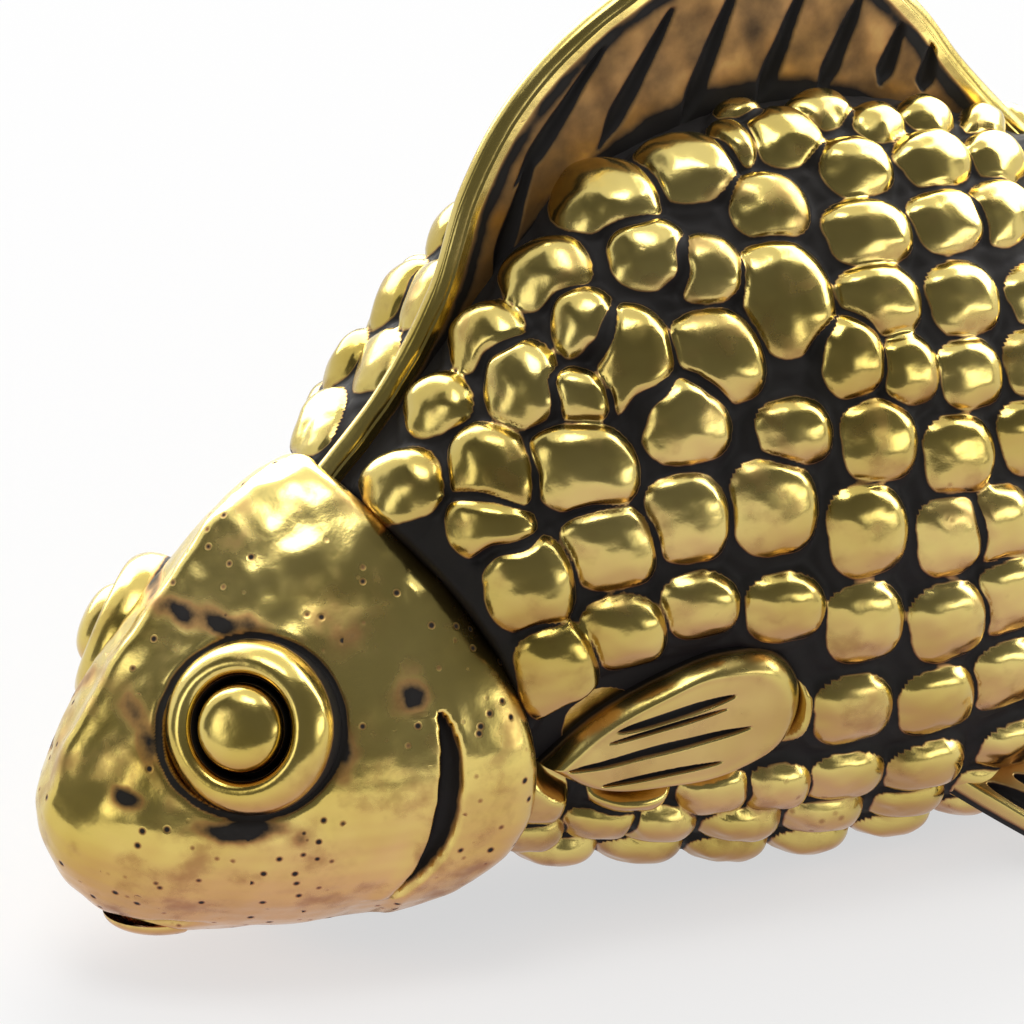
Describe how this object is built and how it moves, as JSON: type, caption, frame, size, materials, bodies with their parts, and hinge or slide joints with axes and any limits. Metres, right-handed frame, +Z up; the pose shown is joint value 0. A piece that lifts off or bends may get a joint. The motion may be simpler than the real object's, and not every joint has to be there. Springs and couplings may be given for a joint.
{
  "type": "fish figurine",
  "caption": "Small cast brass goldfish ornament with domed scales, raised ring eyes, grooved fins and a fan tail, resting on its keel and splayed belly fins.",
  "frame": {"origin": "on the ground under the middle of the bounding box", "axes": "+X towards the tail, +Y to the fish's right flank, +Z up"},
  "size_m": [0.062, 0.021, 0.0334],
  "materials": {
    "scaled_brass": "polished scales with dark patina in the channels",
    "head_brass": "polished, with casting pits",
    "eye_brass": "polished with a dark ring groove",
    "fin_brass": "polished rims with dark patina in the grooves"
  },
  "bodies": {
    "root": {"body_left_shell": "scaled_brass", "body_right_shell": "scaled_brass", "head": "head_brass", "lower_lip": "head_brass", "eye_ring_left": "eye_brass", "eye_ring_right": "eye_brass", "eye_pupil_left": "eye_brass", "eye_pupil_right": "eye_brass", "dorsal_fin": "fin_brass", "pectoral_fin_left": "fin_brass", "pectoral_fin_right": "fin_brass", "pelvic_fin_left": "fin_brass", "pelvic_fin_right": "fin_brass", "anal_fin": "fin_brass", "tail_fin": "fin_brass"}
  },
  "joints": []
}
